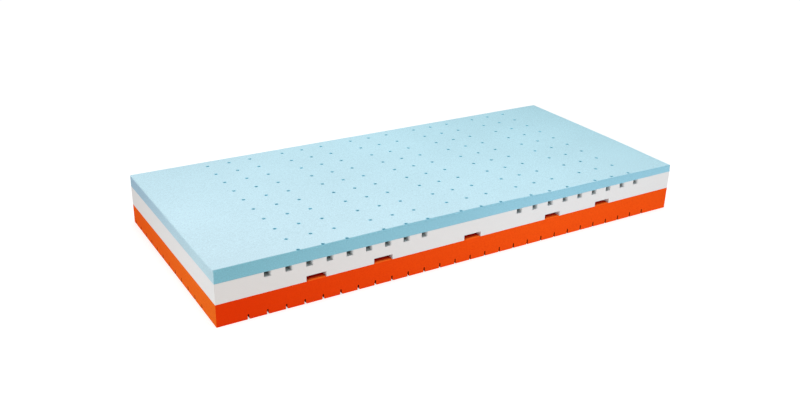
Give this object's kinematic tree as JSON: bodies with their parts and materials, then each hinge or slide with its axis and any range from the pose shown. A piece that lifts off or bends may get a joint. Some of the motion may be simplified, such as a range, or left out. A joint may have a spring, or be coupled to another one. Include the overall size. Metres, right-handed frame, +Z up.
{
  "type": "memory foam mattress",
  "caption": "Coverless single-bed foam mattress core: a memory foam layer with air holes glued on a vented white foam layer and a cross-cut springy base layer.",
  "frame": {"origin": "middle of the footprint, on the surface that the mattress lies on", "axes": "+X along the mattress's length, +Y across it, +Z up towards the sleeper"},
  "size_m": [2, 0.9, 0.2],
  "materials": {
    "memory_foam": "matt, fine-pored open-cell foam, pale blue, darker pores on the cut sides",
    "middle_foam": "matt, smooth cut open-cell foam, white",
    "base_foam": "matt, finely grained cold foam, orange-red",
    "glue": "dried contact adhesive, cream"
  },
  "bodies": {
    "root": {"cross_cut_base_slab": "base_foam", "vented_middle_slab": "middle_foam", "memory_foam_slab": "memory_foam", "lower_glue_strip_01": "glue", "lower_glue_strip_02": "glue", "lower_glue_strip_03": "glue", "lower_glue_strip_04": "glue", "lower_glue_strip_05": "glue", "lower_glue_strip_06": "glue", "upper_glue_strip_01": "glue", "upper_glue_strip_02": "glue", "upper_glue_strip_03": "glue", "upper_glue_strip_04": "glue", "upper_glue_strip_05": "glue", "upper_glue_strip_06": "glue", "upper_glue_strip_07": "glue", "upper_glue_strip_08": "glue", "upper_glue_strip_09": "glue", "upper_glue_strip_10": "glue", "upper_glue_strip_11": "glue", "upper_glue_strip_12": "glue", "upper_glue_strip_13": "glue", "upper_glue_strip_14": "glue", "upper_glue_strip_15": "glue", "upper_glue_strip_16": "glue", "upper_glue_strip_17": "glue", "upper_glue_strip_18": "glue", "upper_glue_strip_19": "glue"}
  },
  "joints": []
}
